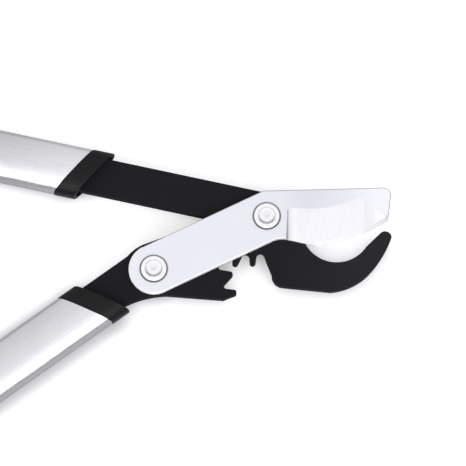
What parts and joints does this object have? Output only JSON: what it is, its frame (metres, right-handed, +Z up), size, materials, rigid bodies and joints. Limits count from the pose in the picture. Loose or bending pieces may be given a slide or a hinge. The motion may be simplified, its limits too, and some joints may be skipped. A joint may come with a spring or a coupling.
{
  "type": "geared bypass lopper",
  "caption": "Two-handed bypass lopper with a hook counter blade, gear-linked oval tube handles, angled collars and soft grips with hanging eyes.",
  "frame": {"origin": "centre of the main pivot bolt's free end, on the plane the tool rests on", "axes": "+Z up along both pivot axes, +X along the cutting blade towards its tip, handles reaching towards -X"},
  "size_m": [0.6409, 0.4725, 0.0279],
  "materials": {
    "blade_steel": "fine satin, faintly brushed along the bar",
    "bolt_steel": "bright turned steel",
    "bush_steel": "oiled sintered steel",
    "black_coating": "satin black low-friction coating",
    "collar_plastic": "semi-gloss moulded black",
    "tube_aluminium": "satin anodised",
    "grip_plastic": "fine-textured moulded black",
    "grip_rubber": "soft matte, finely ribbed"
  },
  "bodies": {
    "blade": {"cutting_blade": "blade_steel", "main_pivot_bolt": "bolt_steel", "main_pivot_washer": "bolt_steel", "main_pivot_nut": "bolt_steel", "handle_pivot_bolt": "bolt_steel", "handle_pivot_washer": "bolt_steel", "handle_pivot_nut": "bolt_steel"},
    "upper_handle": {"hook_jaw": "black_coating", "main_pivot_bush": "bush_steel", "upper_collar": "collar_plastic", "upper_handle_tube": "tube_aluminium", "upper_tang_screws": "bolt_steel", "upper_grip_core": "grip_plastic", "upper_grip_sleeve": "grip_rubber", "upper_end_cap": "grip_plastic"},
    "lower_handle": {"gear_plate": "black_coating", "handle_pivot_bush": "bush_steel", "lower_collar": "collar_plastic", "lower_handle_tube": "tube_aluminium", "lower_tang_screws": "bolt_steel", "lower_grip_core": "grip_plastic", "lower_grip_sleeve": "grip_rubber", "lower_end_cap": "grip_plastic"}
  },
  "joints": [
    {"name": "main_pivot", "type": "hinge", "parent": "blade", "child": "upper_handle", "pos_m": [0, 0, 0], "axis": [0, 0, -1], "range_deg": [-17, 50]},
    {"name": "handle_pivot", "type": "hinge", "parent": "blade", "child": "lower_handle", "pos_m": [-0.06766, -0.03236, 0], "axis": [0, 0, 1], "range_deg": [-12.75, 37.5]}
  ],
  "couplings": [
    {"joint": "handle_pivot", "follows": "main_pivot", "ratio": 0.75}
  ]
}
